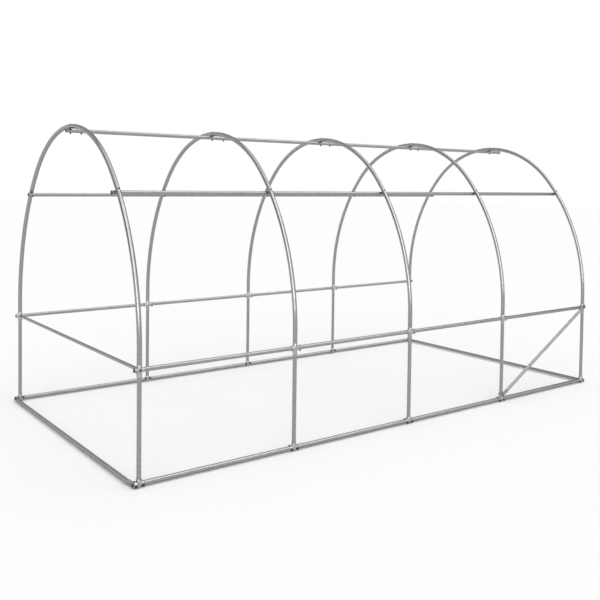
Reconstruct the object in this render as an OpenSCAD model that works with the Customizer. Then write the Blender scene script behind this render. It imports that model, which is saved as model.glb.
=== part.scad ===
// Bare frame of a walk-in polytunnel: five hoops of bent galvanised tube, tied together by rails.
// X runs along the ridge, the braced long side faces -Y and the frame stands on Z = 0.

/* [Tunnel] */
// Width between the leg axes
tunnel_w = 2000; // [1800:10:2200]
// Hoop spacing in the two end bays
end_bay = 1010; // [700:10:1400]
// Hoop spacing in the two middle bays
mid_bay = 960; // [700:10:1400]
// Base rail axis above the ground
base_h = 20; // [20:1:60]
// Waist rail axis above the base rail axis
waist_h = 604; // [400:1:800]
// Straight length of an arch side above its spigot
arch_straight = 23; // [5:1:200]
// Bend radius of the arch sides
side_r = 1400; // [1300:10:1700]
// Turn of an arch side from its start to the crown, in degrees
side_turn = 42.75; // [38:0.25:50]
// Turn of an arch side from its start to the front shoulder rail, in degrees
front_shoulder_turn = 37; // [20:0.5:37.5]
// Turn of an arch side from its start to the rear shoulder rail, in degrees
rear_shoulder_turn = 35; // [20:0.5:37.5]

/* [Tubes] */
// Arch tube diameter
arch_d = 28; // [26:0.5:34]
// Leg tube diameter
leg_d = 25; // [20:0.5:25]
// Waist, shoulder and ridge rail diameter
rail_d = 25; // [20:0.5:26]
// Base rail diameter
base_d = 28; // [26:0.5:36]
// Diameter of the end rails on the ground
end_base_d = 25; // [20:0.5:25]
// Diameter of the end rail at waist height
end_waist_d = 20; // [16:0.5:24]
// Diagonal brace diameter
brace_d = 22; // [18:0.5:25]
// Wall of every tube
tube_wall = 1; // [0.8:0.1:1.6]

/* [Joints] */
// Clearance between pieces that slip together or lie against each other
slip = 0.3; // [0.2:0.05:0.5]
// Outer diameter of a fitting's sleeve
sleeve_d = 30; // [29:0.5:36]
// Reach of a fitting's arm from its centre
arm_reach = 28; // [24:1:40]
// Length of leg held in a cross
socket_l = 40; // [32:1:60]
// Length of a spigot inside its tube
spigot_l = 45; // [30:1:80]
// Wall of a fitting's spigot
fitting_wall = 2; // [1.5:0.1:3]
// Length of a curved spigot between an arch's side and its crown
arch_spigot_l = 60; // [40:1:70]
// Distance of a rail splice past its hoop
splice_past = 140; // [90:5:200]
// Length of a rail's swaged neck inside the next tube
neck_l = 60; // [40:1:80]

/* [Ends] */
// Reach of a shoulder rail past the end hoops
rail_over = 30; // [24:1:60]
// Reach of the ridge rail past the last hoop
ridge_over = 140; // [60:5:200]
// Thickness of an end cap's flange
cap_t = 3; // [2:0.5:6]
// Length of an end cap's plug
cap_plug = 14; // [8:1:20]

/* [Flattened ends] */
// Straight length of a flattened tube end
tongue_l = 36; // [28:1:60]
// Length over which a tube flattens
flare_l = 40; // [25:1:80]
// Foot of the brace above the base rail axis
brace_low = 33; // [10:1:40]
// Head of the brace above the waist rail axis
brace_rise = 8; // [0:1:10]

/* [Hidden] */
round_fn = 64;
bend_fn = 192;
$fn = round_fn;
overrun = 1;
edge_t = 0.5;
zinc = [0.74, 0.76, 0.78];
zinc_dull = [0.62, 0.64, 0.66];
black = [0.08, 0.08, 0.09];

half_w = tunnel_w / 2;
half_l = end_bay + mid_bay;
hoop_x = [-half_l, -mid_bay, 0, mid_bay, half_l];
last = len(hoop_x) - 1;
front = -1;
rear = 1;

waist_z = base_h + waist_h;
spring_z = waist_z + arm_reach + spigot_l + arch_straight;

// A crown arc of its own radius runs smoothly into the two side arcs
crown_r = side_r - (side_r - half_w) / cos(side_turn);
crown_z = spring_z + (side_r - half_w) * tan(side_turn) + crown_r;

// The rails lie under the arches, one clearance away
seat = (arch_d + rail_d) / 2 + slip;
ridge_z = crown_z - seat;

// A flattened end is two walls thick and half the tube's girth wide
tongue_t = 2 * tube_wall;
end_base_x = half_l + arm_reach + cap_t + slip + tongue_t / 2;
brace_y = half_w + max(sleeve_d, base_d) / 2 + slip + tongue_t / 2;

// The origin is in the middle of the frame's outer box
left_reach = end_base_x + end_base_d / 2;
right_reach = half_l + ridge_over;
rear_reach = half_w + max(sleeve_d, base_d, flat_w(end_base_d)) / 2;
front_reach = max(brace_y + brace_d / 2, rear_reach);
mid = [(left_reach - right_reach) / 2, (front_reach - rear_reach) / 2, 0];

hoop_names = [for (i = [0 : last]) str("hoop_", i + 1)];

function bore(d) = d - 2 * tube_wall;
function spigot(d) = bore(d) - 2 * slip;
function spigot_bore(d) = spigot(d) - 2 * fitting_wall;
function flat_w(d) = PI * (d - tube_wall) / 2;
function shoulder_turn(side) = side == front ? front_shoulder_turn : rear_shoulder_turn;
function shoulder_y(side) = side * (half_w - side_r + (side_r - seat) * cos(shoulder_turn(side)));
function shoulder_z(side) = spring_z + (side_r - seat) * sin(shoulder_turn(side));

// Hollow cylinder standing on its end
module pipe(outer, inner, l) {
    difference() {
        cylinder(d = outer, h = l);
        translate([0, 0, -overrun]) cylinder(d = inner, h = l + 2 * overrun);
    }
}

// Straight tube along X between two places
module tube_x(d, from, to) {
    translate([from, 0, 0]) rotate([0, 90, 0]) pipe(d, bore(d), to - from);
}

// Bent tube in the YZ plane about its own centre, angles counted up from the side
module bend(r, from, to, outer, inner) {
    rotate([90, 0, 90]) rotate([0, 0, from])
        rotate_extrude(angle = to - from, $fn = bend_fn) translate([r, 0]) difference() {
            circle(d = outer, $fn = round_fn);
            circle(d = inner, $fn = round_fn);
        }
}

// Side of a hoop's arch: straight above the waist cross, then bent in as far as the crown
module arch_side(i, side) {
    foot_z = waist_z + arm_reach + slip;
    gap_a = slip / 2 / side_r * 180 / PI;
    color(zinc) translate([hoop_x[i], 0, 0]) mirror([0, side == front ? 1 : 0, 0]) {
        translate([0, half_w, foot_z]) pipe(arch_d, bore(arch_d), spring_z - foot_z);
        translate([0, half_w - side_r, spring_z])
            bend(side_r, 0, side_turn - gap_a, arch_d, bore(arch_d));
    }
}

// Crown of a hoop's arch: one bend from side to side
module crown(i) {
    gap_a = slip / 2 / crown_r * 180 / PI;
    color(zinc) translate([hoop_x[i], 0, crown_z - crown_r])
        bend(crown_r, side_turn + gap_a, 180 - side_turn - gap_a, arch_d, bore(arch_d));
}

// Curved spigots inside the hoops, half in the side and half in the crown
module arch_spigots() {
    spigot_r = 2 * side_r * crown_r / (side_r + crown_r);
    half_a = arch_spigot_l / 2 / spigot_r * 180 / PI;
    centre_y = half_w - side_r + (side_r - spigot_r) * cos(side_turn);
    centre_z = spring_z + (side_r - spigot_r) * sin(side_turn);
    color(zinc_dull) for (x = hoop_x, turn = [0, 1])
        translate([x, 0, 0]) mirror([0, turn, 0]) translate([0, centre_y, centre_z])
            bend(spigot_r, side_turn - half_a, side_turn + half_a, spigot(arch_d), spigot_bore(arch_d));
}

// Straight leg from the base tee up into the socket of the waist cross
module leg(i, side) {
    foot_z = base_h + arm_reach + slip;
    top_z = waist_z - rail_d / 2 - slip;
    color(zinc) translate([hoop_x[i], side * half_w, foot_z]) pipe(leg_d, bore(leg_d), top_z - foot_z);
}

// Arm of a fitting along Z: a stout body, and a spigot where a tube goes on
module arm(body_d, d, has_tube) {
    cylinder(d = body_d, h = arm_reach);
    if (has_tube) cylinder(d = spigot(d), h = arm_reach + spigot_l);
}

// Spigot towards the inside of the tunnel for an end rail
module inward_spigot(d, side) {
    rotate([side * 90, 0, 0]) cylinder(d = spigot(d), h = arm_reach + spigot_l);
}

module inward_bore(d, side) {
    rotate([side * 90, 0, 0]) cylinder(d = spigot_bore(d), h = arm_reach + spigot_l + overrun);
}

// Bore right through a fitting along X
module cross_bore(d) {
    bore_l = 2 * (arm_reach + spigot_l + overrun);
    rotate([0, 90, 0]) cylinder(d = spigot_bore(d), h = bore_l, center = true);
}

// Waist cross: the leg ends in its socket, the arch and the rails go over its spigots
// The sleeve runs upright at the end hoops and along the rail at the others
module waist_cross(i, side) {
    at_end = i == 0 || i == last;
    upright_d = at_end ? sleeve_d : arch_d;
    along_d = at_end ? rail_d : sleeve_d;
    socket_h = socket_l - rail_d / 2;
    difference() {
        union() {
            translate([0, 0, -socket_l]) cylinder(d = upright_d, h = socket_l);
            arm(upright_d, arch_d, true);
            rotate([0, -90, 0]) arm(along_d, rail_d, i > 0);
            rotate([0, 90, 0]) arm(along_d, rail_d, i < last);
            if (i == 0) inward_spigot(end_waist_d, side);
        }
        translate([0, 0, -socket_l - overrun]) cylinder(d = leg_d + 2 * slip, h = socket_h + overrun);
        translate([0, 0, -rail_d / 2 - overrun])
            cylinder(d = spigot_bore(arch_d), h = rail_d / 2 + arm_reach + spigot_l + 2 * overrun);
        cross_bore(rail_d);
        if (i == 0) inward_bore(end_waist_d, side);
    }
}

// Base tee: its upright sleeve stands on the ground, the base rails and the leg go over its spigots
module base_tee(i, side) {
    difference() {
        union() {
            translate([0, 0, -base_h]) cylinder(d = sleeve_d, h = base_h);
            arm(sleeve_d, leg_d, true);
            rotate([0, -90, 0]) arm(base_d, base_d, i > 0);
            rotate([0, 90, 0]) arm(base_d, base_d, i < last);
            if (i == last) inward_spigot(end_base_d, side);
        }
        cylinder(d = spigot_bore(leg_d), h = arm_reach + spigot_l + overrun);
        cross_bore(base_d);
        if (i == last) inward_bore(end_base_d, side);
    }
}

module waist_crosses(side) {
    color(zinc_dull) for (i = [0 : last])
        translate([hoop_x[i], side * half_w, waist_z]) waist_cross(i, side);
}

module base_tees(side) {
    color(zinc_dull) for (i = [0 : last])
        translate([hoop_x[i], side * half_w, base_h]) base_tee(i, side);
}

// Rail of one tube a bay, pushed over the spigots of the fittings
module bay_rail(d) {
    color(zinc) for (i = [0 : last - 1])
        tube_x(d, hoop_x[i] + arm_reach + slip, hoop_x[i + 1] - arm_reach - slip);
}

// Rail that passes under the hoops, spliced a little past each inner hoop by a swaged neck
module spliced_rail(over) {
    neck_d = spigot(rail_d);
    neck_bore = neck_d - 2 * tube_wall;
    left_x = hoop_x[0] - rail_over + cap_t;
    right_x = hoop_x[last] + over - cap_t;
    splice_x = [for (i = [1 : last - 1]) hoop_x[i] + splice_past];
    color(zinc) for (k = [0 : last - 1]) {
        from = k == 0 ? left_x : splice_x[k - 1];
        to = k == last - 1 ? right_x : splice_x[k] - slip;
        tube_x(rail_d, from, to);
        if (k > 0) translate([from, 0, 0]) rotate([0, 90, 0]) {
            pipe(rail_d, neck_bore, 2 * tube_wall);
            translate([0, 0, -neck_l]) pipe(neck_d, neck_bore, neck_l + 2 * tube_wall);
        }
    }
}

module ridge_rail() {
    translate([0, 0, ridge_z]) spliced_rail(ridge_over);
}

module shoulder_rail(side) {
    translate([0, shoulder_y(side), shoulder_z(side)]) spliced_rail(rail_over);
}

module waist_rail(side) {
    translate([0, side * half_w, waist_z]) bay_rail(rail_d);
}

module base_rail(side) {
    translate([0, side * half_w, base_h]) bay_rail(base_d);
}

// Tube along X with both ends pressed flat, measured between its two bolt centres
module flat_ended_tube(d, l) {
    flat_end = tongue_l + flare_l;
    wide = flat_w(d);
    for (end = [0, 1]) translate([end * l, 0, 0]) mirror([end, 0, 0]) {
        rotate([90, 0, 0]) cylinder(d = wide, h = tongue_t, center = true);
        translate([0, -tongue_t / 2, -wide / 2]) cube([tongue_l, tongue_t, wide]);
        hull() {
            translate([tongue_l - edge_t, -tongue_t / 2, -wide / 2]) cube([edge_t, tongue_t, wide]);
            translate([flat_end, 0, 0]) rotate([0, 90, 0]) cylinder(d = d, h = edge_t, $fn = 32);
        }
    }
    tube_x(d, flat_end, l - flat_end);
}

module left_base_end_rail() {
    color(zinc) translate([-end_base_x, -half_w, base_h]) rotate([0, 0, 90])
        flat_ended_tube(end_base_d, tunnel_w);
}

// Tube across the tunnel between two fittings, clear of their sleeves
module cross_tube(d) {
    reach = half_w - max(sleeve_d, base_d) / 2 - slip;
    color(zinc) rotate([0, 0, 90]) tube_x(d, -reach, reach);
}

module right_base_end_rail() {
    translate([hoop_x[last], 0, base_h]) cross_tube(end_base_d);
}

module left_waist_end_rail() {
    translate([hoop_x[0], 0, waist_z]) cross_tube(end_waist_d);
}

// Diagonal in the last bay, from the foot of one hoop to the waist of the next
module corner_brace() {
    run = hoop_x[last] - hoop_x[last - 1];
    rise = waist_h + brace_rise - brace_low;
    color(zinc) translate([hoop_x[last - 1], -brace_y, base_h + brace_low])
        rotate([0, -atan2(rise, run), 0]) flat_ended_tube(brace_d, norm([run, rise]));
}

// Plug that closes an open tube end and looks along X
module end_cap(d, plug_d) {
    rotate([0, 90, 0]) {
        cylinder(d = d, h = cap_t);
        translate([0, 0, -cap_plug]) cylinder(d = plug_d, h = cap_plug);
    }
}

// One cap at each end of a straight rail
module cap_pair(d, plug_d, left_x, right_x) {
    color(black) {
        translate([left_x, 0, 0]) mirror([1, 0, 0]) end_cap(d, plug_d);
        translate([right_x, 0, 0]) end_cap(d, plug_d);
    }
}

module rail_caps(over) {
    cap_pair(rail_d, spigot(rail_d), hoop_x[0] - rail_over + cap_t, hoop_x[last] + over - cap_t);
}

module fitting_caps(d) {
    cap_pair(d, spigot_bore(d) - 2 * slip, hoop_x[0] - arm_reach, hoop_x[last] + arm_reach);
}

module ridge_end_caps() {
    translate([0, 0, ridge_z]) rail_caps(ridge_over);
}

module shoulder_end_caps() {
    for (side = [front, rear]) translate([0, shoulder_y(side), shoulder_z(side)]) rail_caps(rail_over);
}

module waist_end_caps() {
    for (side = [front, rear]) translate([0, side * half_w, waist_z]) fitting_caps(rail_d);
}

module base_end_caps() {
    for (side = [front, rear]) translate([0, side * half_w, base_h]) fitting_caps(base_d);
}

translate(mid) {
    for (i = [0 : last]) {
        crown(i);
        arch_side(i, front);
        arch_side(i, rear);
        leg(i, front);
        leg(i, rear);
    }
    arch_spigots();
    waist_crosses(front);  // front_waist_crosses
    waist_crosses(rear);  // rear_waist_crosses
    base_tees(front);  // front_base_tees
    base_tees(rear);  // rear_base_tees
    ridge_rail();
    shoulder_rail(front);  // front_shoulder_rail
    shoulder_rail(rear);  // rear_shoulder_rail
    waist_rail(front);  // front_waist_rail
    waist_rail(rear);  // rear_waist_rail
    base_rail(front);  // front_base_rail
    base_rail(rear);  // rear_base_rail
    left_base_end_rail();
    right_base_end_rail();
    left_waist_end_rail();
    corner_brace();
    ridge_end_caps();
    shoulder_end_caps();
    waist_end_caps();
    base_end_caps();
}
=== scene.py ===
import math

import bmesh
import bpy
from mathutils import Matrix, Vector


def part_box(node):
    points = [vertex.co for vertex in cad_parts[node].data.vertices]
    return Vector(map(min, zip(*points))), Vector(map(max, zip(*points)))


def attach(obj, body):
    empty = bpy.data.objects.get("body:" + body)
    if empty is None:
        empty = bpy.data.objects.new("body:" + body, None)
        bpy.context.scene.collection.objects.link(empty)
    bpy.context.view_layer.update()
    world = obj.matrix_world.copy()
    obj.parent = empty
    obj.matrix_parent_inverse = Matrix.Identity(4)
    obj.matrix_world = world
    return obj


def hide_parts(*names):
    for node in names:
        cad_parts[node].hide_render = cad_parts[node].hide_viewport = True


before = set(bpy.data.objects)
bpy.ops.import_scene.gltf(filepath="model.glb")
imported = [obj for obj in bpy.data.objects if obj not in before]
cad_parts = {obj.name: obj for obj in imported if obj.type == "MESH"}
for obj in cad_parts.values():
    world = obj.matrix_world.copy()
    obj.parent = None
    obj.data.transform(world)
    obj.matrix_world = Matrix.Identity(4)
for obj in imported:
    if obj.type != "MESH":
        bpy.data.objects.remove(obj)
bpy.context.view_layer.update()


# Base tees: ten welded steel fittings on the ground, one under each leg, galvanised after welding.
# An upright sleeve carries the leg on a spigot, two arms carry the base rails, and the last pair
# has a third spigot for the end rail. Each arm is welded to the sleeve with one bead.
X, Y, Z = Vector((1, 0, 0)), Vector((0, 1, 0)), Vector((0, 0, 1))
HOOPS = (1, 2, 3, 4, 5)
SIDES = {"front": 1, "rear": -1}
SLIP = 0.0003
TUBE_WALL = 0.001
FITTING_WALL = 0.002


def middle(node):
    low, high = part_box(node)
    return (Vector(low) + Vector(high)) / 2


def extent(node):
    low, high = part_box(node)
    return Vector(high) - Vector(low)


hoop_x = [middle(f"hoop_{n}_front_leg").x for n in HOOPS]
leg_y = {side: middle(f"hoop_1_{side}_leg").y for side in SIDES}
leg_d = extent("hoop_1_front_leg").x
base_z = middle("front_base_rail").z
base_d = extent("front_base_rail").z
end_base_d = extent("right_base_end_rail").z
tees_low, tees_high = (Vector(corner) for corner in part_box("front_base_tees"))
sleeve_d = 2 * (leg_y["front"] - tees_low.y)
arm_reach = hoop_x[0] - tees_low.x
spigot_end = tees_high.y - leg_y["front"]


def spigot_d(tube_d):
    return tube_d - 2 * TUBE_WALL - 2 * SLIP


def spigot_bore(tube_d):
    return spigot_d(tube_d) - 2 * FITTING_WALL


NEARLY_UPRIGHT = 0.7


def square_to(axis):
    """Two directions square to an axis and to each other."""
    start = Z if abs(axis.z) < NEARLY_UPRIGHT else X
    first = (start - axis * start.dot(axis)).normalized()
    return first, axis.cross(first)


def turned(bm, at, axis, outline, sides=40):
    """Adds a closed turned solid: outline is a list of (place along the axis, radius)."""
    axis = Vector(axis).normalized()
    first, second = square_to(axis)
    rings = []
    for along, radius in outline:
        ring = []
        for k in range(sides):
            a = 2 * math.pi * k / sides
            out = first * math.cos(a) + second * math.sin(a)
            ring.append(bm.verts.new(at + axis * along + out * radius))
        rings.append(ring)
    for ring, after in zip(rings, rings[1:]):
        for k in range(sides):
            m = (k + 1) % sides
            bm.faces.new((ring[k], ring[m], after[m], after[k]))
    bm.faces.new(list(reversed(rings[0])))
    bm.faces.new(rings[-1])


EDGE_R = 0.0008
ROUND_STEPS = [(0.0, 1.0), (0.3, 0.3), (1.0, 0.0)]


def rounded_bar(start, end, d):
    """Outline of a straight bar with both rims rounded."""
    rim = [(start + EDGE_R * along, d / 2 - EDGE_R * inward) for along, inward in ROUND_STEPS]
    far = [(end - EDGE_R * along, d / 2 - EDGE_R * inward) for along, inward in reversed(ROUND_STEPS)]
    return rim + far


def bore(bm, axis, start, end, d):
    """Adds the plain bar with which a fitting is bored from its centre."""
    turned(bm, Vector((0, 0, 0)), axis, [(start, d / 2), (end, d / 2)])


BEAD_R, SMALL_BEAD_R = 0.0016, 0.0005
BEAD_STEPS, BEAD_SIDES = 96, 8
RIPPLE, RIPPLE_STEPS = 0.14, 4


def weld_bead(bm, at, sleeve_axis, arm_axis, sleeve_r, arm_r, bead_r=BEAD_R):
    """Adds the rippled bead where a round arm meets a round sleeve."""
    across = sleeve_axis.cross(arm_axis)
    places = []
    for k in range(BEAD_STEPS):
        a = 2 * math.pi * k / BEAD_STEPS
        side, up = arm_r * math.cos(a), arm_r * math.sin(a)
        out = math.sqrt(max(sleeve_r ** 2 - side ** 2, 0))
        places.append(at + arm_axis * out + across * side + sleeve_axis * up)
    rings = []
    for k, place in enumerate(places):
        way = (places[(k + 1) % BEAD_STEPS] - places[k - 1]).normalized()
        outward = (place - at - way * (place - at).dot(way)).normalized()
        other = way.cross(outward)
        r = bead_r * (1 + RIPPLE * math.cos(2 * math.pi * k / RIPPLE_STEPS))
        rings.append([
            bm.verts.new(place + (outward * math.cos(b) + other * math.sin(b)) * r)
            for b in (2 * math.pi * j / BEAD_SIDES for j in range(BEAD_SIDES))
        ])
    for k, ring in enumerate(rings):
        after = rings[(k + 1) % BEAD_STEPS]
        for j in range(BEAD_SIDES):
            m = (j + 1) % BEAD_SIDES
            bm.faces.new((ring[j], ring[m], after[m], after[j]))


def loose_piece(name, bm):
    """Turns a bmesh into an object in the scene."""
    bmesh.ops.recalc_face_normals(bm, faces=bm.faces)
    mesh = bpy.data.meshes.new(name)
    bm.to_mesh(mesh)
    bm.free()
    piece = bpy.data.objects.new(name, mesh)
    bpy.context.scene.collection.objects.link(piece)
    return piece


def fused(name, joined, cut):
    """One mesh from solids that are joined and bored; each entry fills an empty bmesh."""
    tools = []
    for fill, operation in [(f, "UNION") for f in joined] + [(f, "DIFFERENCE") for f in cut]:
        bm = bmesh.new()
        fill(bm)
        tools.append((loose_piece("tool", bm), operation))
    body = tools[0][0]
    for tool, operation in tools[1:]:
        step = body.modifiers.new("fuse", "BOOLEAN")
        step.operation, step.solver, step.object = operation, "EXACT", tool
    bpy.context.view_layer.update()
    mesh = bpy.data.meshes.new_from_object(body.evaluated_get(bpy.context.evaluated_depsgraph_get()))
    mesh.name = name
    for tool, _ in tools:
        old = tool.data
        bpy.data.objects.remove(tool)
        bpy.data.meshes.remove(old)
    return mesh


def smooth(mesh, sharp_deg=40):
    """Shades a mesh smooth, apart from edges that turn more sharply than this."""
    mesh.polygons.foreach_set("use_smooth", [True] * len(mesh.polygons))
    mesh.set_sharp_from_angle(angle=math.radians(sharp_deg))


def base_tee(n, inward):
    """Mesh of the tee under hoop n, about the crossing of its axes."""
    o = Vector((0, 0, 0))
    from_x = 0 if n == HOOPS[0] else -spigot_end
    to_x = 0 if n == HOOPS[-1] else spigot_end
    end_spigot = spigot_d(end_base_d)
    joined = [
        lambda bm: turned(bm, o, Z, rounded_bar(-base_z, arm_reach, sleeve_d)),
        lambda bm: turned(bm, o, X, rounded_bar(-arm_reach, arm_reach, base_d)),
        lambda bm: turned(bm, o, Z, rounded_bar(0, spigot_end, spigot_d(leg_d))),
        lambda bm: weld_bead(bm, o, Z, X, sleeve_d / 2, base_d / 2),
        lambda bm: weld_bead(bm, o, Z, -X, sleeve_d / 2, base_d / 2),
        lambda bm: turned(bm, o, X, rounded_bar(from_x, to_x, spigot_d(base_d))),
    ]
    cut = [
        lambda bm: bore(bm, Z, 0, 2 * spigot_end, spigot_bore(leg_d)),
        lambda bm: bore(bm, X, -2 * spigot_end, 2 * spigot_end, spigot_bore(base_d)),
    ]
    if n == HOOPS[-1]:
        joined.append(lambda bm: turned(bm, o, inward, rounded_bar(0, spigot_end, end_spigot)))
        joined.append(lambda bm: weld_bead(bm, o, Z, inward, sleeve_d / 2, end_spigot / 2, SMALL_BEAD_R))
        cut.append(lambda bm: bore(bm, inward, 0, 2 * spigot_end, spigot_bore(end_base_d)))
    return fused("tee", joined, cut)


def wire(tree, source, target):
    tree.links.new(source, target)


def shader_node(tree, kind, **values):
    made = tree.nodes.new(kind)
    for key, value in values.items():
        setattr(made, key, value)
    return made


def new_finish(name):
    """A new material, its node tree and its shader."""
    finish = bpy.data.materials.new(name)
    finish.use_nodes = True
    return finish, finish.node_tree, finish.node_tree.nodes["Principled BSDF"]


def ramp(tree, source, stops):
    """Colour ramp from (place, grey or colour) stops."""
    made = shader_node(tree, "ShaderNodeValToRGB")
    line = made.color_ramp
    while len(line.elements) < len(stops):
        line.elements.new(0.5)
    for element, (place, tone) in zip(line.elements, stops):
        element.position = place
        element.color = (tone, tone, tone, 1) if isinstance(tone, (int, float)) else (*tone, 1)
    wire(tree, source, made.inputs["Fac"])
    return made


DULL_RIM = (0.65, 0.65, 0.65, 1.0)
LESS_RED, MORE_BLUE = 0.985, 1.02


def zinc_tone(grey):
    """Zinc is a slightly blue grey."""
    return (grey * LESS_RED, grey, grey * MORE_BLUE)


def dipped_zinc():
    """Dull hot-dipped zinc with cloudy patches and a fine grain."""
    finish, tree, shader = new_finish("dipped_zinc")
    place = shader_node(tree, "ShaderNodeTexCoord")
    clouds = shader_node(tree, "ShaderNodeTexNoise")
    clouds.inputs["Scale"].default_value = 45
    clouds.inputs["Detail"].default_value = 6
    grain = shader_node(tree, "ShaderNodeTexVoronoi")
    grain.inputs["Scale"].default_value = 260
    for texture in (clouds, grain):
        wire(tree, place.outputs["Object"], texture.inputs["Vector"])
    tone = ramp(tree, clouds.outputs["Fac"], [(0.3, zinc_tone(0.34)), (0.7, zinc_tone(0.46))])
    dull = ramp(tree, clouds.outputs["Fac"], [(0.3, 0.34), (0.7, 0.22)])
    bump = shader_node(tree, "ShaderNodeBump")
    bump.inputs["Strength"].default_value = 0.25
    bump.inputs["Distance"].default_value = 0.0004
    wire(tree, grain.outputs["Distance"], bump.inputs["Height"])
    shader.inputs["Metallic"].default_value = 1.0
    shader.inputs["Specular Tint"].default_value = DULL_RIM
    wire(tree, tone.outputs["Color"], shader.inputs["Base Color"])
    wire(tree, dull.outputs["Color"], shader.inputs["Roughness"])
    wire(tree, bump.outputs["Normal"], shader.inputs["Normal"])
    return finish


fitting_zinc = dipped_zinc()


def set_of_fittings(name, node, meshes, places):
    """One piece from several fitting meshes set at their places, which stands for a CAD node."""
    bm = bmesh.new()
    for mesh, place in zip(meshes, places):
        old = len(bm.verts)
        bm.from_mesh(mesh)
        bm.verts.ensure_lookup_table()
        for vert in bm.verts[old:]:
            vert.co += place
    piece = loose_piece(name, bm)
    smooth(piece.data)
    piece.data.materials.append(fitting_zinc)
    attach(piece, "root")
    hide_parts(node)


first_tee, inner_tee = base_tee(HOOPS[0], Y), base_tee(HOOPS[1], Y)
for side, inward in SIDES.items():
    set_of_fittings(
        f"{side}_base_tee_weldments", f"{side}_base_tees",
        [first_tee, inner_tee, inner_tee, inner_tee, base_tee(HOOPS[-1], Y * inward)],
        [Vector((x, leg_y[side], base_z)) for x in hoop_x],
    )


# Base rails: four straight welded steel tubes a side, galvanised, one for each bay.
# Each is pushed over the spigots of two base tees, and a bolt through the tee holds it.
LIP = 0.00025
TUBE_SIDES = 40


def straight(start, end):
    """Path along a straight tube: place, and two directions across it, at a distance from its start."""
    way = (end - start).normalized()
    first, second = square_to(way)
    return (lambda s: (start + way * s, first, second)), (end - start).length


def tube(bm, path, stops, d):
    """Adds a hollow tube along a path, open at both ends with rounded lips, with lengthwise UVs."""
    skin = bm.loops.layers.uv.verify()
    inner = d / 2 - TUBE_WALL
    first, last = stops[0], stops[-1]
    rings = [(first, d / 2 - LIP), (first + LIP, d / 2)]
    rings += [(s, d / 2) for s in stops[1:-1]]
    rings += [(last - LIP, d / 2), (last, d / 2 - LIP), (last, inner)]
    rings += [(s, inner) for s in reversed(stops[1:-1])] + [(first, inner)]
    verts = []
    for s, r in rings:
        place, one, two = path(s)
        turns = (2 * math.pi * k / TUBE_SIDES for k in range(TUBE_SIDES))
        verts.append([bm.verts.new(place + (one * math.cos(a) + two * math.sin(a)) * r) for a in turns])
    for i, ring in enumerate(verts):
        j = (i + 1) % len(verts)
        for k in range(TUBE_SIDES):
            m = (k + 1) % TUBE_SIDES
            face = bm.faces.new((ring[k], ring[m], verts[j][m], verts[j][k]))
            corners = ((k, i), (k + 1, i), (k + 1, j), (k, j))
            for loop, (turn, at) in zip(face.loops, corners):
                loop[skin].uv = (turn / TUBE_SIDES, rings[at][0])


def plain_tube(bm, start, end, d):
    """Adds one straight tube between two places."""
    path, length = straight(start, end)
    tube(bm, path, [0, length / 2, length], d)


def drawn_zinc():
    """Galvanised tube: flowered zinc, faint streaks along the tube and the line of its weld."""
    finish, tree, shader = new_finish("drawn_zinc")
    place = shader_node(tree, "ShaderNodeTexCoord")
    flowers = shader_node(tree, "ShaderNodeTexVoronoi")
    flowers.inputs["Scale"].default_value = 95
    flower_grey = shader_node(tree, "ShaderNodeSeparateColor")
    wire(tree, place.outputs["Object"], flowers.inputs["Vector"])
    wire(tree, flowers.outputs["Color"], flower_grey.inputs["Color"])

    skin = shader_node(tree, "ShaderNodeUVMap")
    stretch = shader_node(tree, "ShaderNodeMapping")
    stretch.inputs["Scale"].default_value = (60, 3, 1)
    streaks = shader_node(tree, "ShaderNodeTexNoise")
    streaks.inputs["Scale"].default_value = 1
    streaks.inputs["Detail"].default_value = 4
    wire(tree, skin.outputs["UV"], stretch.inputs["Vector"])
    wire(tree, stretch.outputs["Vector"], streaks.inputs["Vector"])

    mixed = shader_node(tree, "ShaderNodeMix", data_type="FLOAT")
    mixed.inputs["Factor"].default_value = 0.5
    wire(tree, flower_grey.outputs["Red"], mixed.inputs["A"])
    wire(tree, streaks.outputs["Fac"], mixed.inputs["B"])
    tone = ramp(tree, mixed.outputs["Result"], [(0.1, zinc_tone(0.27)), (0.9, zinc_tone(0.36))])
    dull = ramp(tree, mixed.outputs["Result"], [(0.1, 0.2), (0.9, 0.13)])

    around = shader_node(tree, "ShaderNodeSeparateXYZ")
    wire(tree, skin.outputs["UV"], around.inputs["Vector"])
    seam = ramp(tree, around.outputs["X"], [(0.34, 0.0), (0.35, 1.0), (0.36, 0.0)])
    ripple = shader_node(tree, "ShaderNodeMath", operation="ADD")
    wire(tree, seam.outputs["Color"], ripple.inputs[0])
    wire(tree, streaks.outputs["Fac"], ripple.inputs[1])
    bump = shader_node(tree, "ShaderNodeBump")
    bump.inputs["Strength"].default_value = 0.12
    bump.inputs["Distance"].default_value = 0.0002
    wire(tree, ripple.outputs["Value"], bump.inputs["Height"])

    shader.inputs["Metallic"].default_value = 1.0
    shader.inputs["Specular Tint"].default_value = DULL_RIM
    wire(tree, tone.outputs["Color"], shader.inputs["Base Color"])
    wire(tree, dull.outputs["Color"], shader.inputs["Roughness"])
    wire(tree, bump.outputs["Normal"], shader.inputs["Normal"])
    return finish


tube_zinc = drawn_zinc()


def tube_piece(name, node, bm):
    """A finished tube piece that stands for a CAD node."""
    piece = loose_piece(name, bm)
    smooth(piece.data)
    piece.data.materials.append(tube_zinc)
    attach(piece, "root")
    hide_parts(node)


def bay_tubes(name, node):
    """The four tubes of a rail, one a bay, between the arms of the fittings."""
    centre, d = middle(node), extent(node).z
    gap = arm_reach + SLIP
    bm = bmesh.new()
    for left, right in zip(hoop_x, hoop_x[1:]):
        start = Vector((left + gap, centre.y, centre.z))
        end = Vector((right - gap, centre.y, centre.z))
        plain_tube(bm, start, end, d)
    tube_piece(name, node, bm)


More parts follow.
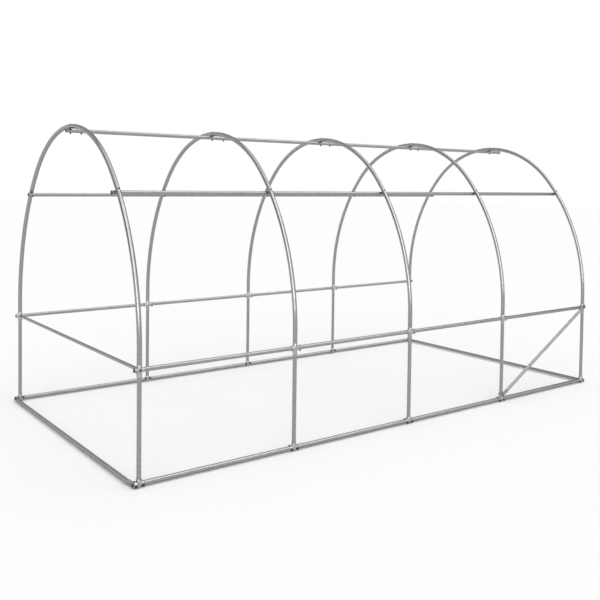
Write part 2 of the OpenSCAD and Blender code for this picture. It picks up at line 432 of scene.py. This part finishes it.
for side in SIDES:
    bay_tubes(f"{side}_base_rail_tubes", f"{side}_base_rail")


# Base end rails: one galvanised tube across each end, on the ground.
# The right one is pushed over spigots in the last hoop. The left one lies outside, and its ends
# are pressed flat, rounded and bolted to the capped ends of the base rails.
TONGUE_L, FLARE_L = 0.036, 0.040
TIP_RINGS, FLARE_RINGS = 8, 12
TIP_LEAST = 0.05


def flattened_ring(width, thickness):
    """Ring of a tube pressed to an oval slot, as offsets (across the flat, through the flat)."""
    half = thickness / 2
    side = max(width / 2 - half, 0)
    ring = []
    for k in range(TUBE_SIDES):
        a = 2 * math.pi * (k + 0.5) / TUBE_SIDES
        ring.append((math.copysign(side, math.cos(a)) + half * math.cos(a), half * math.sin(a)))
    return ring


def flat_ended_tube(bm, start, end, thin, d):
    """Adds a tube whose two ends are pressed flat, measured between its bolt centres."""
    skin = bm.loops.layers.uv.verify()
    way = (end - start).normalized()
    wide = way.cross(thin)
    length = (end - start).length
    flat_w, flat_t = math.pi * (d - TUBE_WALL) / 2, 2 * TUBE_WALL

    rings = []
    for k in range(1, TIP_RINGS + 1):
        turn = math.radians(90) * k / TIP_RINGS
        rings.append((-flat_w / 2 * math.cos(turn), flat_w * max(math.sin(turn), TIP_LEAST), flat_t))
    rings.append((TONGUE_L, flat_w, flat_t))
    for k in range(1, FLARE_RINGS + 1):
        part = k / FLARE_RINGS
        ease = part * part * (3 - 2 * part)
        thick = flat_t + (d - flat_t) * ease
        girth_w = thick + math.pi * (d - thick) / 2
        rings.append((TONGUE_L + FLARE_L * part, min(girth_w, flat_w), thick))
    rings += [(length - s, w, t) for s, w, t in reversed(rings)]
    rings = sorted(rings)

    verts = []
    for s, w, t in rings:
        at = start + way * s
        verts.append([bm.verts.new(at + wide * a + thin * b) for a, b in flattened_ring(w, t)])
    for i in range(len(rings) - 1):
        for k in range(TUBE_SIDES):
            m = (k + 1) % TUBE_SIDES
            face = bm.faces.new((verts[i][k], verts[i][m], verts[i + 1][m], verts[i + 1][k]))
            corners = ((k, i), (k + 1, i), (k + 1, i + 1), (k, i + 1))
            for loop, (turn, at) in zip(face.loops, corners):
                loop[skin].uv = (turn / TUBE_SIDES, rings[at][0])
    bm.faces.new(list(reversed(verts[0])))
    bm.faces.new(verts[-1])


left_rail = middle("left_base_end_rail")
left_rail_front, left_rail_rear = (Vector((left_rail.x, y, base_z)) for y in leg_y.values())
bm = bmesh.new()
flat_ended_tube(bm, left_rail_front, left_rail_rear, X, end_base_d)
tube_piece("left_base_end_rail_tube", "left_base_end_rail", bm)


def cross_tube(name, node):
    """A plain tube across the tunnel in a hoop's plane."""
    low, high = (Vector(corner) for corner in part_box(node))
    centre = (low + high) / 2
    bm = bmesh.new()
    start = Vector((centre.x, low.y, centre.z))
    end = Vector((centre.x, high.y, centre.z))
    plain_tube(bm, start, end, high.z - low.z)
    tube_piece(name, node, bm)


cross_tube("right_base_end_rail_tube", "right_base_end_rail")


# Legs: ten straight galvanised tubes, the lower half of the hoops' uprights.
# Each stands on the spigot of its base tee and ends in the socket of its waist cross.
for n in HOOPS:
    for side in SIDES:
        node = f"hoop_{n}_{side}_leg"
        low, high = (Vector(corner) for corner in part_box(node))
        centre = (low + high) / 2
        bm = bmesh.new()
        start = Vector((centre.x, centre.y, low.z))
        end = Vector((centre.x, centre.y, high.z))
        plain_tube(bm, start, end, leg_d)
        tube_piece(f"{node}_tube", node, bm)


# Waist crosses: ten welded steel fittings between leg, arch and waist rail, galvanised.
# The leg ends in the socket below, and the arch and the rails go over spigots. The stout sleeve
# is upright at the end hoops and lies along the rail at the three between.
waist_z = middle("front_waist_rail").z
rail_d = extent("front_waist_rail").z
arch_d = extent("hoop_1_crown").x
end_waist_d = extent("left_waist_end_rail").z
socket_l = waist_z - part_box("front_waist_crosses")[0][2]
CUT_OVERLAP = 0.001


def waist_cross(n, inward):
    """Mesh of the cross at hoop n, about the crossing of its axes."""
    o = Vector((0, 0, 0))
    at_end = n in (HOOPS[0], HOOPS[-1])
    upright_d, along_d = (sleeve_d, rail_d) if at_end else (arch_d, sleeve_d)
    upright, along = (Z, upright_d / 2), (X, along_d / 2)
    (stout, stout_r), (slim, slim_r) = (upright, along) if at_end else (along, upright)
    from_x = 0 if n == HOOPS[0] else -spigot_end
    to_x = 0 if n == HOOPS[-1] else spigot_end
    socket_top = -rail_d / 2
    joined = [
        lambda bm: turned(bm, o, Z, rounded_bar(-socket_l, arm_reach, upright_d)),
        lambda bm: turned(bm, o, X, rounded_bar(-arm_reach, arm_reach, along_d)),
        lambda bm: turned(bm, o, Z, rounded_bar(0, spigot_end, spigot_d(arch_d))),
        lambda bm: turned(bm, o, X, rounded_bar(from_x, to_x, spigot_d(rail_d))),
        lambda bm: weld_bead(bm, o, stout, slim, stout_r, slim_r),
        lambda bm: weld_bead(bm, o, stout, -slim, stout_r, slim_r),
    ]
    cut = [
        lambda bm: bore(bm, Z, -2 * socket_l, socket_top, leg_d + 2 * SLIP),
        lambda bm: bore(bm, Z, socket_top - CUT_OVERLAP, 2 * spigot_end, spigot_bore(arch_d)),
        lambda bm: bore(bm, X, -2 * spigot_end, 2 * spigot_end, spigot_bore(rail_d)),
    ]
    if n == HOOPS[0]:
        joined.append(lambda bm: turned(bm, o, inward, rounded_bar(0, spigot_end, spigot_d(end_waist_d))))
        cut.append(lambda bm: bore(bm, inward, 0, 2 * spigot_end, spigot_bore(end_waist_d)))
    return fused("cross", joined, cut)


inner_cross, last_cross = waist_cross(HOOPS[1], Y), waist_cross(HOOPS[-1], Y)
for side, inward in SIDES.items():
    set_of_fittings(
        f"{side}_waist_cross_weldments", f"{side}_waist_crosses",
        [waist_cross(HOOPS[0], Y * inward), inner_cross, inner_cross, inner_cross, last_cross],
        [Vector((x, leg_y[side], waist_z)) for x in hoop_x],
    )


# Waist rails: four galvanised tubes a side over the spigots of the waist crosses.
# One more goes across the left end; the right end has none and is the way in.
for side in SIDES:
    bay_tubes(f"{side}_waist_rail_tubes", f"{side}_waist_rail")
cross_tube("left_waist_end_rail_tube", "left_waist_end_rail")


# Arches: each hoop's bow is three galvanised tubes, two sides bent to a wide radius and a crown
# bent tighter. A side starts straight on the waist cross. Curved spigots inside join side to crown.
SIDE_R = 1.4
SIDE_TURN = math.radians(42.75)
ARCH_STRAIGHT = 0.023
RING_STEP = math.radians(1)
arch_foot_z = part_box("hoop_1_front_side")[0][2]
arch_start_z = waist_z + spigot_end + ARCH_STRAIGHT
tunnel_mid_y = (leg_y["front"] + leg_y["rear"]) / 2
half_w = (leg_y["rear"] - leg_y["front"]) / 2
crown_r = SIDE_R - (SIDE_R - half_w) / math.cos(SIDE_TURN)
crown_centre_z = arch_start_z + (SIDE_R - half_w) * math.tan(SIDE_TURN)


def arch_side_path(x, inward):
    """Up from the waist cross, then round the side bend."""
    rise = arch_start_z - arch_foot_z
    foot_y = tunnel_mid_y - inward * half_w
    centre = Vector((x, foot_y + inward * SIDE_R, arch_start_z))

    def path(s):
        if s <= rise:
            return Vector((x, foot_y, arch_foot_z + s)), Y * -inward, X * -inward
        a = (s - rise) / SIDE_R
        out = Y * (-inward * math.cos(a)) + Z * math.sin(a)
        return centre + out * SIDE_R, out, X * -inward
    bend_l = SIDE_R * SIDE_TURN - SLIP / 2
    rings = math.ceil(SIDE_TURN / RING_STEP)
    return path, [0, rise / 2] + [rise + bend_l * k / rings for k in range(rings + 1)]


def crown_path(x):
    """Over the top from the front side to the rear side."""
    centre = Vector((x, tunnel_mid_y, crown_centre_z))
    gap = SLIP / 2 / crown_r
    first, last = SIDE_TURN + gap, math.pi - SIDE_TURN - gap

    def path(s):
        a = first + s / crown_r
        out = Y * -math.cos(a) + Z * math.sin(a)
        return centre + out * crown_r, out, -X
    rings = math.ceil((last - first) / RING_STEP)
    return path, [(last - first) * crown_r * k / rings for k in range(rings + 1)]


for n, x in zip(HOOPS, hoop_x):
    for side, inward in SIDES.items():
        bm = bmesh.new()
        tube(bm, *arch_side_path(x, inward), arch_d)
        tube_piece(f"hoop_{n}_{side}_side_tube", f"hoop_{n}_{side}_side", bm)
    bm = bmesh.new()
    tube(bm, *crown_path(x), arch_d)
    tube_piece(f"hoop_{n}_crown_tube", f"hoop_{n}_crown", bm)
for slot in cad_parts["arch_spigots"].material_slots:
    slot.material = fitting_zinc


# Ridge and shoulder rails: four galvanised tubes each, laid under the hoops and bolted to them.
# A little past each inner hoop the next tube's end is swaged to a neck and pushed into the last one.
SPLICE_PAST, NECK_L = 0.140, 0.060
NECK_ROOT = NECK_L / 4


def spliced_tubes(name, node):
    """The four tubes of a rail, each with a neck inside the one before."""
    low, high = (Vector(corner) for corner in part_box(node))
    centre, d = (low + high) / 2, high.z - low.z
    splices = [x + SPLICE_PAST for x in hoop_x[1:-1]]
    neck_d = spigot_d(d)
    bm = bmesh.new()
    for k, (start, end) in enumerate(zip([low.x] + splices, [x - SLIP for x in splices] + [high.x])):
        plain_tube(bm, Vector((start, centre.y, centre.z)), Vector((end, centre.y, centre.z)), d)
        if k > 0:
            neck_start = Vector((start - NECK_L, centre.y, centre.z))
            neck_end = Vector((start + NECK_ROOT, centre.y, centre.z))
            plain_tube(bm, neck_start, neck_end, neck_d)
    tube_piece(name, node, bm)


for node in ("front_shoulder_rail", "rear_shoulder_rail", "ridge_rail"):
    spliced_tubes(f"{node}_tubes", node)


# Corner brace: one galvanised tube across the last bay of the front side.
# Both ends are pressed flat and bolted outside, low on one leg and at the waist of the next.
BRACE_D, BRACE_LOW, BRACE_RISE = 0.022, 0.033, 0.008
brace_y = middle("corner_brace").y
brace_foot = Vector((hoop_x[3], brace_y, base_z + BRACE_LOW))
brace_head = Vector((hoop_x[4], brace_y, waist_z + BRACE_RISE))
bm = bmesh.new()
flat_ended_tube(bm, brace_foot, brace_head, Y, BRACE_D)
tube_piece("corner_brace_tube", "corner_brace", bm)


# End caps: black moulded plastic plugs in the open ends of the ridge, shoulder, waist and base rails.
# A ribbed plug grips inside, and a low domed flange covers the rim.
CAP_T, CAP_PLUG = 0.003, 0.014
FLANGE_DOME = [(0, 1), (0.5, 1), (0.85, 0.93), (1, 0.8), (1, 0.3)]
PLUG_TIP, PLUG_TAPER = 0.86, 0.8
RIBS, RIB_HALF, RIB_GROOVE = (0.65, 0.4, 0.15), 0.06, 0.94
CAP_SIDES = 32


def moulded_black():
    """Matt black plastic with a fine moulded grain and scuffs."""
    finish, tree, shader = new_finish("moulded_black")
    place = shader_node(tree, "ShaderNodeTexCoord")
    grain = shader_node(tree, "ShaderNodeTexNoise")
    grain.inputs["Scale"].default_value = 900
    scuffs = shader_node(tree, "ShaderNodeTexNoise")
    scuffs.inputs["Scale"].default_value = 120
    for texture in (grain, scuffs):
        wire(tree, place.outputs["Object"], texture.inputs["Vector"])
    darkest, palest = (0.012, 0.012, 0.013), (0.03, 0.03, 0.032)
    tone = ramp(tree, scuffs.outputs["Fac"], [(0.35, darkest), (0.75, palest)])
    dull = ramp(tree, scuffs.outputs["Fac"], [(0.3, 0.42), (0.7, 0.6)])
    bump = shader_node(tree, "ShaderNodeBump")
    bump.inputs["Strength"].default_value = 0.2
    bump.inputs["Distance"].default_value = 0.0002
    wire(tree, grain.outputs["Fac"], bump.inputs["Height"])
    wire(tree, tone.outputs["Color"], shader.inputs["Base Color"])
    wire(tree, dull.outputs["Color"], shader.inputs["Roughness"])
    wire(tree, bump.outputs["Normal"], shader.inputs["Normal"])
    return finish


cap_black = moulded_black()


def end_cap(bm, at, way, d, plug_d):
    """Adds one cap, turned about the tube's axis, from the plug's tip to the flange's face."""
    flange = [(CAP_T * along, d / 2 * part) for along, part in FLANGE_DOME]
    plug_r = plug_d / 2
    plug = [(-CAP_PLUG, plug_r * PLUG_TIP), (-CAP_PLUG * PLUG_TAPER, plug_r)]
    for rib in RIBS:
        for along, part in ((rib, 1), (rib - RIB_HALF, RIB_GROOVE), (rib - 2 * RIB_HALF, 1)):
            plug.append((-CAP_PLUG * along, plug_r * part))
    turned(bm, at, way, plug + flange, CAP_SIDES)


def caps_on(name, node, sides_yz, d, plug_d):
    """The caps on both ends of one rail or a pair of rails."""
    low, high = (Vector(corner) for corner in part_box(node))
    bm = bmesh.new()
    for y, z in sides_yz:
        end_cap(bm, Vector((low.x + CAP_T, y, z)), -X, d, plug_d)
        end_cap(bm, Vector((high.x - CAP_T, y, z)), X, d, plug_d)
    piece = loose_piece(name, bm)
    smooth(piece.data)
    piece.data.materials.append(cap_black)
    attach(piece, "root")
    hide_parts(node)


ridge = middle("ridge_rail")
shoulder_rails = [middle(f"{side}_shoulder_rail") for side in SIDES]
shoulders = [(rail.y, rail.z) for rail in shoulder_rails]
waists = [(y, waist_z) for y in leg_y.values()]
bases = [(y, base_z) for y in leg_y.values()]
caps_on("ridge_cap_plugs", "ridge_end_caps", [(ridge.y, ridge.z)], rail_d, spigot_d(rail_d))
caps_on("shoulder_cap_plugs", "shoulder_end_caps", shoulders, rail_d, spigot_d(rail_d))
caps_on("waist_cap_plugs", "waist_end_caps", waists, rail_d, spigot_bore(rail_d) - 2 * SLIP)
caps_on("base_cap_plugs", "base_end_caps", bases, base_d, spigot_bore(base_d) - 2 * SLIP)


# Bolts: blackened steel, hexagon or low round heads, washers and nuts; 6 mm thick, 8 mm at the base.
# They hold the hoops to the ridge and shoulder rails, the rails to the fittings, and the flattened ends.
BOLT_D, HEAD_ACROSS, HEAD_H, NUT_H = 0.006, 0.010, 0.004, 0.005
WASHER_D, WASHER_T, WASHER_EDGE = 0.013, 0.0014, 0.96
HEX_SHOULDER, HEX_TOP = 0.78, 0.86
DOME_H, DOME_STEPS = 0.0022, (0, 0.3, 0.6, 0.8, 0.95)
TAIL, SHORT_TAIL, TAIL_START = 0.004, 0.002, -0.001
THREAD_PITCH, THREAD_ROOT, THREAD_TIP = 0.001, 0.86, 0.8
WASHER_SIDES, THREAD_SIDES = 24, 16
BASE_BOLT = 8 / 6


def hexagon(bm, at, way, across, height):
    """Adds a hexagon with its outer corners turned off."""
    first, second = square_to(way)
    corner_r = across / math.sqrt(3)
    corners = [math.radians(60 * k) for k in range(6)]
    outs = [first * math.cos(a) + second * math.sin(a) for a in corners]
    rings = []
    for along, part in [(0, 1.0), (height * HEX_SHOULDER, 1.0), (height, HEX_TOP)]:
        rings.append([bm.verts.new(at + way * along + out * corner_r * part) for out in outs])
    for ring, after in zip(rings, rings[1:]):
        for k in range(6):
            m = (k + 1) % 6
            bm.faces.new((ring[k], ring[m], after[m], after[k]))
    bm.faces.new(list(reversed(rings[0])))
    bm.faces.new(rings[-1])


def thread(start, end, d):
    """Outline of a screw thread as rings."""
    outline, s = [], start
    while s + THREAD_PITCH <= end:
        outline += [(s, d / 2 * THREAD_ROOT), (s + THREAD_PITCH / 2, d / 2)]
        s += THREAD_PITCH
    return outline + [(s, d / 2 * THREAD_TIP)]


def bolt(bm, at, way, grip, tail=TAIL, domed=False, size=1.0):
    """Adds a bolt: the head outside at, looking along way, the nut a grip away on the other side."""
    way = Vector(way).normalized()
    washer_t, washer_r = WASHER_T * size, WASHER_D / 2 * size
    washer = [(0, washer_r), (washer_t, washer_r * WASHER_EDGE)]
    if domed:
        dome = [(DOME_H * part, washer_r * math.sqrt(1 - part * part)) for part in DOME_STEPS]
        turned(bm, at, way, dome, WASHER_SIDES)
    else:
        turned(bm, at, way, washer, WASHER_SIDES)
        hexagon(bm, at + way * washer_t, way, HEAD_ACROSS * size, HEAD_H * size)
    far = at - way * grip
    nut_h = NUT_H * size
    turned(bm, far, -way, washer, WASHER_SIDES)
    hexagon(bm, far - way * washer_t, -way, HEAD_ACROSS * size, nut_h)
    end = thread(TAIL_START, tail, BOLT_D * size)
    turned(bm, far - way * (washer_t + nut_h), -way, end, THREAD_SIDES)


def blackened_steel():
    """Blackened steel, rubbed brighter in places."""
    finish, tree, shader = new_finish("blackened_steel")
    place = shader_node(tree, "ShaderNodeTexCoord")
    rub = shader_node(tree, "ShaderNodeTexNoise")
    rub.inputs["Scale"].default_value = 300
    rub.inputs["Detail"].default_value = 5
    wire(tree, place.outputs["Object"], rub.inputs["Vector"])
    blackened, rubbed = (0.03, 0.031, 0.034), (0.1, 0.1, 0.105)
    tone = ramp(tree, rub.outputs["Fac"], [(0.35, blackened), (0.7, rubbed)])
    dull = ramp(tree, rub.outputs["Fac"], [(0.3, 0.5), (0.7, 0.34)])
    shader.inputs["Metallic"].default_value = 0.8
    wire(tree, tone.outputs["Color"], shader.inputs["Base Color"])
    wire(tree, dull.outputs["Color"], shader.inputs["Roughness"])
    return finish


bolt_black = blackened_steel()


def bolt_piece(name, bm):
    """The bolts of one row as a piece."""
    piece = loose_piece(name, bm)
    smooth(piece.data, 30)
    piece.data.materials.append(bolt_black)
    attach(piece, "root")


TEE_BOLT_X, TEE_BOLT_LOW = 0.020, math.radians(25)
for side, inward in SIDES.items():
    bm = bmesh.new()
    way = Y * (-inward * math.cos(TEE_BOLT_LOW)) - Z * math.sin(TEE_BOLT_LOW)
    for x in hoop_x:
        for beside in (-TEE_BOLT_X, TEE_BOLT_X):
            at = Vector((x + beside, leg_y[side], base_z)) + way * (base_d / 2)
            bolt(bm, at, way, base_d, SHORT_TAIL, size=BASE_BOLT)
    bolt_piece(f"{side}_base_bolts", bm)

CROSS_BOLT_X = 0.038
for side, inward in SIDES.items():
    bm = bmesh.new()
    for n, x in zip(HOOPS, hoop_x):
        if n in (HOOPS[0], HOOPS[-1]):
            bolt(bm, Vector((x, leg_y[side] - inward * sleeve_d / 2, waist_z)), Y * -inward, sleeve_d)
        else:
            bolt(bm, Vector((x + CROSS_BOLT_X, leg_y[side], waist_z + rail_d / 2)), Z, rail_d, domed=True)
    bolt_piece(f"{side}_waist_bolts", bm)

bm = bmesh.new()
for (side, inward), rail in zip(SIDES.items(), shoulder_rails):
    centre = Vector((0, leg_y[side] + inward * SIDE_R, arch_start_z))
    out = Vector((0, rail.y - centre.y, rail.z - centre.z)).normalized()
    for x in hoop_x:
        top = Vector((x, centre.y, centre.z)) + out * (SIDE_R + arch_d / 2)
        bolt(bm, top, out, arch_d + SLIP + rail_d, SHORT_TAIL, True)
bolt_piece("shoulder_bolts", bm)

bm = bmesh.new()
FIRST_BOLT_X, SPLICE_BOLT_X = 0.070, 0.090
for n, x in zip(HOOPS, hoop_x):
    crown_top = ridge.z + rail_d / 2 + SLIP + arch_d
    bolt(bm, Vector((x, ridge.y, crown_top)), Z, arch_d + SLIP + rail_d, SHORT_TAIL, True)
    if n != HOOPS[-1]:
        past = FIRST_BOLT_X if n == HOOPS[0] else SPLICE_BOLT_X
        bolt(bm, Vector((x + past, ridge.y, ridge.z + rail_d / 2)), Z, rail_d, SHORT_TAIL, True)
bolt_piece("ridge_bolts", bm)

bm = bmesh.new()
for y in leg_y.values():
    at = Vector((left_rail.x - TUBE_WALL, y, base_z))
    bolt(bm, at, -X, 2 * TUBE_WALL + SLIP, SHORT_TAIL / 2, size=BASE_BOLT)
for end in (brace_foot, brace_head):
    bolt(bm, end - Y * TUBE_WALL, -Y, 2 * TUBE_WALL + SLIP + sleeve_d)
bolt_piece("end_rail_and_brace_bolts", bm)


# Floor, backdrop and lamps: a plain studio, white at the horizon, greyer above, bright soft boxes.
# The floor is white to the eye and in reflections, and a greyer cloth to the light it throws back.
# One broad lamp from the front right gives the shadows a side.
FLOOR_R = 60
bm = bmesh.new()
bmesh.ops.create_circle(bm, cap_ends=True, segments=96, radius=FLOOR_R)
floor = loose_piece("floor", bm)
floor_paint, tree, shader = new_finish("floor_paint")
rays = shader_node(tree, "ShaderNodeLightPath")
seen = rays.outputs["Is Camera Ray"]
for mirrored in ("Is Glossy Ray", "Is Transmission Ray"):
    either = shader_node(tree, "ShaderNodeMath", operation="MAXIMUM")
    wire(tree, seen, either.inputs[0])
    wire(tree, rays.outputs[mirrored], either.inputs[1])
    seen = either.outputs["Value"]
paint = ramp(tree, seen, [(0.0, 0.5), (1.0, 0.7)])
wire(tree, paint.outputs["Color"], shader.inputs["Base Color"])
shader.inputs["Roughness"].default_value = 0.9
shader.inputs["Specular IOR Level"].default_value = 0.0
floor.data.materials.append(floor_paint)

world = bpy.data.worlds.new("studio")
bpy.context.scene.world = world
world.use_nodes = True
tree = world.node_tree
sky = tree.nodes["Background"]
facing = shader_node(tree, "ShaderNodeTexCoord")
WHITE = (1.0, 1.0, 1.0, 1.0)


def glow(toward, stops):
    """Light of one part of the room, by how closely a direction points toward it: 1 is straight at it."""
    aim = shader_node(tree, "ShaderNodeVectorMath", operation="DOT_PRODUCT")
    aim.inputs[1].default_value = Vector(toward).normalized()
    wire(tree, facing.outputs["Generated"], aim.inputs[0])
    return ramp(tree, aim.outputs["Value"], stops).outputs["Color"]


light = glow((0.0, 0.0, 1.0), [(0.1, 1.0), (0.15, 0.9), (0.24, 0.12), (0.68, 0.26), (0.82, 0.62)])
left_box = glow((-0.36, -0.8, 0.48), [(0.8, 0.0), (0.87, 2.05)])
far_left_box = glow((-0.7, -0.64, 0.3), [(0.9, 0.0), (0.95, 1.1)])
right_box = glow((0.5, -0.6, 0.65), [(0.82, 0.0), (0.9, 0.9)])
top_box = glow((0.35, -0.05, 0.93), [(0.82, 0.0), (0.9, 1.1)])
top_left_box = glow((-0.52, -0.05, 0.85), [(0.86, 0.0), (0.93, 0.7)])
rear_box = glow((-0.25, 0.9, 0.36), [(0.78, 0.0), (0.88, 0.55)])
for soft_box in (left_box, far_left_box, right_box, top_box, top_left_box, rear_box):
    both = shader_node(tree, "ShaderNodeVectorMath", operation="ADD")
    wire(tree, light, both.inputs[0])
    wire(tree, soft_box, both.inputs[1])
    light = both.outputs["Vector"]
backdrop = shader_node(tree, "ShaderNodeMix", data_type="RGBA")
wire(tree, glow((0.6, 0.8, 0.1), [(0.84, 0.0), (0.9, 1.0)]), backdrop.inputs["Factor"])
wire(tree, light, backdrop.inputs[6])
backdrop.inputs[7].default_value = WHITE
wire(tree, backdrop.outputs[2], sky.inputs["Color"])


def soft_sun(name, way, spread_deg, strength):
    """A broad far lamp, which lights the whole floor evenly."""
    sun = bpy.data.lights.new(name, "SUN")
    sun.angle, sun.energy = math.radians(spread_deg), strength
    lamp = bpy.data.objects.new(name, sun)
    bpy.context.scene.collection.objects.link(lamp)
    lamp.rotation_euler = Vector(way).to_track_quat("-Z", "Y").to_euler()


soft_sun("key_lamp", (-0.6, 0.45, -0.66), 25, 0.1)


# Camera: the photograph's view, from the left of the braced side at a standing person's eye height.
# Place, turn and lens are those at which the frame's tube crossings fall where the photo has them.
FRAME_PIXELS, FOCAL_PIXELS, AXIS_ROW = 600, 786.78, 212.45
camera_at = Vector((-3.7906, -4.7648, 1.6094))
yaw, pitch, roll = math.radians(36.685), math.radians(2.107), math.radians(-0.727)
lens = bpy.data.cameras.new("photo_camera")
lens.sensor_width = 36
lens.lens = FOCAL_PIXELS / FRAME_PIXELS * lens.sensor_width
lens.shift_y = (AXIS_ROW - FRAME_PIXELS / 2) / FRAME_PIXELS
camera = bpy.data.objects.new("photo_camera", lens)
bpy.context.scene.collection.objects.link(camera)
forward = Vector((math.sin(yaw) * math.cos(pitch), math.cos(yaw) * math.cos(pitch), -math.sin(pitch)))
right = Vector((math.cos(yaw), -math.sin(yaw), 0))
up = right.cross(forward)
camera_x = right * math.cos(roll) - up * math.sin(roll)
camera_y = right * math.sin(roll) + up * math.cos(roll)
turn = Matrix((camera_x, camera_y, -forward)).transposed().to_4x4()
camera.matrix_world = Matrix.Translation(camera_at) @ turn
bpy.context.scene.camera = camera
bpy.context.scene.view_settings.view_transform = "Standard"
